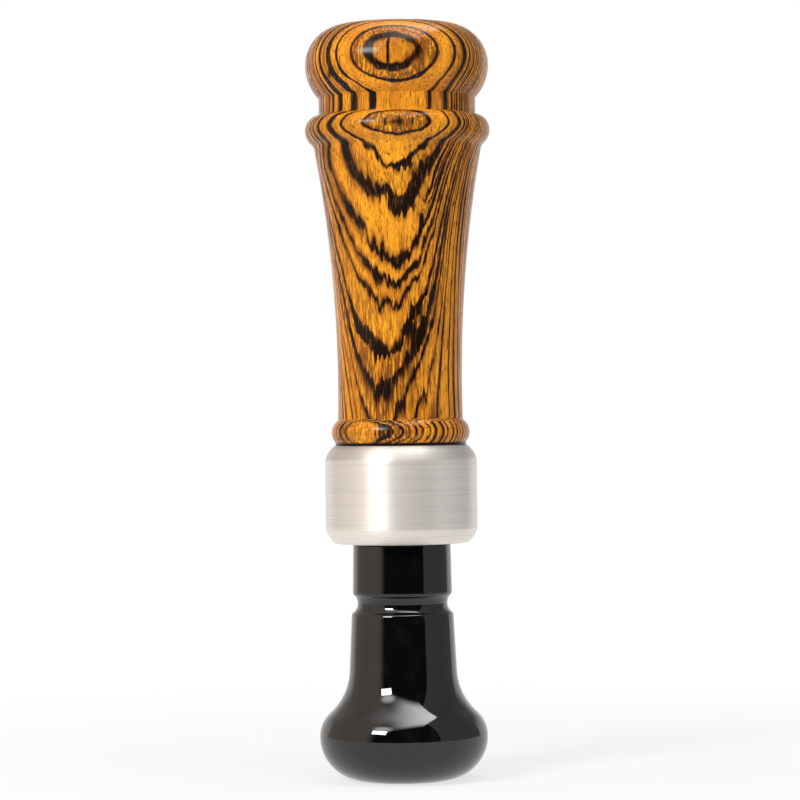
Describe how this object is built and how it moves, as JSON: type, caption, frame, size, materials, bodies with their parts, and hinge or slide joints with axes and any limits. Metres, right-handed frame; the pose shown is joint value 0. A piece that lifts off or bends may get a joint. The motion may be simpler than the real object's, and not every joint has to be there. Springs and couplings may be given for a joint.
{
  "type": "duck call",
  "caption": "Turned duck call: striped wood barrel with bulb mouthpiece and metal band, on a gloss black flared stopper with a reed-covered tone board inside.",
  "frame": {"origin": "centre of the foot ring of the stopper, on the surface that the call stands on", "axes": "+Z along the axis of the turning, from the foot of the stopper to the mouthpiece; the reeds lie on the -Y side of the tone board; +X to the right when looking at the reeds"},
  "size_m": [0.0351, 0.035, 0.1434],
  "materials": {
    "striped_wood": "gloss lacquer",
    "turned_aluminium": "satin turned",
    "black_acrylic": "polished",
    "moulded_plastic": "satin",
    "reed_film": "frosted film",
    "cork": "cut cork",
    "black_rubber": "matt"
  },
  "bodies": {
    "stopper": {"stopper": "black_acrylic", "tone_board": "moulded_plastic", "cork_wedge": "cork"},
    "o_rings": {"front_o_ring": "black_rubber", "rear_o_ring": "black_rubber"},
    "barrel": {"barrel": "striped_wood", "band": "turned_aluminium"},
    "lower_reed": {"lower_reed": "reed_film"},
    "upper_reed": {"upper_reed": "reed_film"}
  },
  "joints": [
    {"name": "barrel_twist", "type": "hinge", "parent": "stopper", "child": "o_rings", "pos_m": [0, 0, 0.04495], "axis": [0, 0, 1], "continuous": true},
    {"name": "barrel_pull", "type": "slide", "parent": "o_rings", "child": "barrel", "axis": [0, 0, 1], "range_m": [0, 0.07]},
    {"name": "lower_reed_flex", "type": "hinge", "parent": "stopper", "child": "lower_reed", "pos_m": [0, -0.0016, 0.07295], "axis": [1, 0, 0], "range_deg": [-2.2, 1.5], "stiffness_Nm_per_rad": 0.006, "deforming": ["lower_reed"]},
    {"name": "upper_reed_flex", "type": "hinge", "parent": "stopper", "child": "upper_reed", "pos_m": [0, -0.00196, 0.07295], "axis": [1, 0, 0], "range_deg": [-2.2, 1.5], "stiffness_Nm_per_rad": 0.003, "deforming": ["upper_reed"]}
  ],
  "couplings": [
    {"joint": "upper_reed_flex", "follows": "lower_reed_flex", "ratio": 1}
  ]
}
